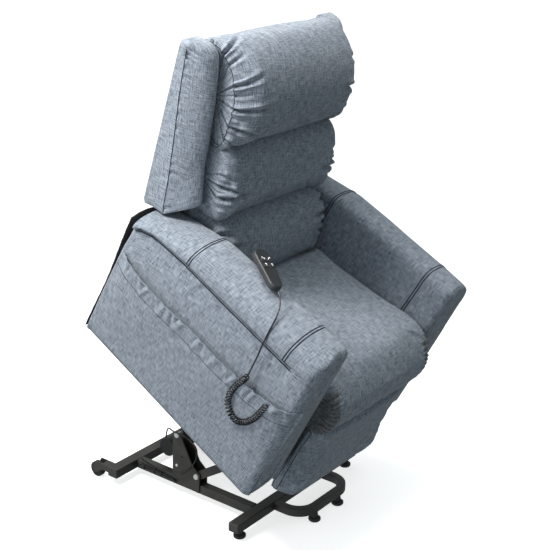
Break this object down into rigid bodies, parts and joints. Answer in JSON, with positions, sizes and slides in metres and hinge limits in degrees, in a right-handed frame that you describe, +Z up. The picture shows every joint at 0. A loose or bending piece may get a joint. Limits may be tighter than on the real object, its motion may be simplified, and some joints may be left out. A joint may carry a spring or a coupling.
{
  "type": "lift recliner chair",
  "caption": "Upholstered lift recliner, shown raised: steel base with lift links and actuators, seat and arms that tip forward, folding legrest, reclining back, side pocket and corded handset.",
  "frame": {"origin": "on the floor, under the middle of the chair in its raised pose", "axes": "+X to the left of the seated person, who faces -Y; +Z up"},
  "size_m": [0.8321, 1.0113, 1.4961],
  "materials": {
    "side_fabric": "blue-grey melange weave",
    "upholstery_fabric": "blue-grey melange weave",
    "black_cover_cloth": "black cloth",
    "plywood": "unfinished plywood",
    "zinc_steel": "zinc plated",
    "painted_steel": "black powder coat",
    "black_plastic": "matte",
    "wheel_rubber": "matte",
    "handset_shell": "fine texture",
    "button_plastic": "matte",
    "cord_sheath": "satin"
  },
  "bodies": {
    "base": {"base_rear_bar": "painted_steel", "base_rail_left": "painted_steel", "base_rail_right": "painted_steel", "base_front_bar": "painted_steel", "base_front_loop": "painted_steel", "stanchion_left": "painted_steel", "stanchion_right": "painted_steel", "foot_front_right": "black_plastic", "foot_front_left": "black_plastic", "foot_loop_right": "black_plastic", "foot_loop_left": "black_plastic", "wheel_bracket_left": "painted_steel", "wheel_bracket_right": "painted_steel", "lower_pivot_pin_left": "zinc_steel", "lower_pivot_pin_right": "zinc_steel", "upper_pivot_pin_left": "zinc_steel", "upper_pivot_pin_right": "zinc_steel", "power_box": "black_plastic", "actuator_cable": "cord_sheath"},
    "wheel_left": {"transport_wheel_left": "wheel_rubber"},
    "wheel_right": {"transport_wheel_right": "wheel_rubber"},
    "lower_link": {"lift_link_lower_left": "painted_steel", "lift_link_lower_right": "painted_steel", "lift_cross_shaft": "painted_steel"},
    "upper_link": {"lift_link_upper_left": "painted_steel", "lift_link_upper_right": "painted_steel"},
    "lift_actuator": {"lift_actuator_body": "black_plastic"},
    "lift_rod": {"lift_actuator_rod": "zinc_steel"},
    "chair": {"chassis_frame": "painted_steel", "lift_arm_left": "painted_steel", "lift_arm_right": "painted_steel", "arm_frame_left": "side_fabric", "arm_frame_right": "side_fabric", "arm_pad_left": "upholstery_fabric", "arm_pad_right": "upholstery_fabric", "side_pocket": "side_fabric", "rear_cover": "black_cover_cloth", "seat_deck": "plywood", "seat_cushion": "upholstery_fabric", "handset_body": "handset_shell", "handset_cord": "cord_sheath", "handset_coil": "cord_sheath"},
    "back": {"back_frame": "plywood", "back_outer_cover": "upholstery_fabric", "wing_left": "upholstery_fabric", "wing_right": "upholstery_fabric", "head_cushion": "upholstery_fabric", "middle_cushion": "upholstery_fabric", "lumbar_cushion": "upholstery_fabric"},
    "back_actuator": {"back_actuator_body": "black_plastic"},
    "back_rod": {"back_actuator_rod": "zinc_steel"},
    "legrest_swing": {"legrest_swing_link": "painted_steel"},
    "legrest_fold": {"legrest_fold_link_left": "painted_steel", "legrest_fold_link_right": "painted_steel"},
    "legrest": {"legrest_board": "plywood", "legrest_pad": "upholstery_fabric"},
    "button_1": {"handset_button_1": "button_plastic"},
    "button_2": {"handset_button_2": "button_plastic"},
    "button_3": {"handset_button_3": "button_plastic"},
    "button_4": {"handset_button_4": "button_plastic"}
  },
  "joints": [
    {"name": "lift", "type": "hinge", "parent": "base", "child": "lower_link", "pos_m": [0, 0.118, 0.09], "axis": [-1, 0, 0], "range_deg": [-30.74, 0]},
    {"name": "chair_tilt", "type": "hinge", "parent": "lower_link", "child": "chair", "pos_m": [0, -0.18075, 0.28401], "axis": [-1, 0, 0], "range_deg": [0, 61.12]},
    {"name": "upper_link_swing", "type": "hinge", "parent": "base", "child": "upper_link", "pos_m": [0, 0.197, 0.213], "axis": [-1, 0, 0], "range_deg": [-46.66, 0]},
    {"name": "lift_actuator_swing", "type": "hinge", "parent": "base", "child": "lift_actuator", "pos_m": [0, 0.333, 0.08], "axis": [-1, 0, 0], "range_deg": [-22.86, 0]},
    {"name": "lift_rod_slide", "type": "slide", "parent": "lift_actuator", "child": "lift_rod", "axis": [0, -0.7578, 0.6525], "range_m": [-0.13874, 0]},
    {"name": "recline", "type": "hinge", "parent": "chair", "child": "back", "pos_m": [0, 0.19723, 0.84737], "axis": [-1, 0, 0], "range_deg": [0, 50]},
    {"name": "back_actuator_swing", "type": "hinge", "parent": "chair", "child": "back_actuator", "pos_m": [0.08, -0.06663, 0.50846], "axis": [-1, 0, 0], "range_deg": [-5.16, 0]},
    {"name": "back_rod_slide", "type": "slide", "parent": "back_actuator", "child": "back_rod", "axis": [0, 0.766, 0.6428], "range_m": [-0.06779, 0]},
    {"name": "legrest_swing", "type": "hinge", "parent": "chair", "child": "legrest_swing", "pos_m": [0, -0.17911, 0.49471], "axis": [-1, 0, 0], "range_deg": [0, 93.22]},
    {"name": "legrest_fold", "type": "hinge", "parent": "legrest_swing", "child": "legrest_fold", "pos_m": [0, -0.05845, 0.34151], "axis": [1, 0, 0], "range_deg": [0, 89.8]},
    {"name": "legrest_level", "type": "hinge", "parent": "legrest_fold", "child": "legrest", "pos_m": [0, -0.25211, 0.31864], "axis": [-1, 0, 0], "range_deg": [0, 86.57]},
    {"name": "wheel_left_spin", "type": "hinge", "parent": "base", "child": "wheel_left", "pos_m": [0.283, 0.486, 0.026], "axis": [1, 0, 0], "continuous": true},
    {"name": "wheel_right_spin", "type": "hinge", "parent": "base", "child": "wheel_right", "pos_m": [-0.283, 0.486, 0.026], "axis": [1, 0, 0], "continuous": true},
    {"name": "handset_button_1_press", "type": "slide", "parent": "chair", "child": "button_1", "axis": [0, 0.5056, -0.8628], "range_m": [0, 0.001], "stiffness_N_per_m": 1500},
    {"name": "handset_button_2_press", "type": "slide", "parent": "chair", "child": "button_2", "axis": [0, 0.5056, -0.8628], "range_m": [0, 0.001], "stiffness_N_per_m": 1500},
    {"name": "handset_button_3_press", "type": "slide", "parent": "chair", "child": "button_3", "axis": [0, 0.5056, -0.8628], "range_m": [0, 0.001], "stiffness_N_per_m": 1500},
    {"name": "handset_button_4_press", "type": "slide", "parent": "chair", "child": "button_4", "axis": [0, 0.5056, -0.8628], "range_m": [0, 0.001], "stiffness_N_per_m": 1500}
  ],
  "couplings": [
    {"joint": "chair_tilt", "follows": "lift", "ratio": -1.988},
    {"joint": "upper_link_swing", "follows": "lift", "ratio": 1.5174},
    {"joint": "lift_actuator_swing", "follows": "lift", "ratio": 0.74277},
    {"joint": "lift_rod_slide", "follows": "lift", "m_per_rad": 0.25834},
    {"joint": "back_actuator_swing", "follows": "recline", "ratio": -0.10311},
    {"joint": "back_rod_slide", "follows": "recline", "m_per_rad": -0.0776},
    {"joint": "legrest_fold", "follows": "legrest_swing", "ratio": 0.96312},
    {"joint": "legrest_level", "follows": "legrest_swing", "ratio": 0.92855}
  ]
}
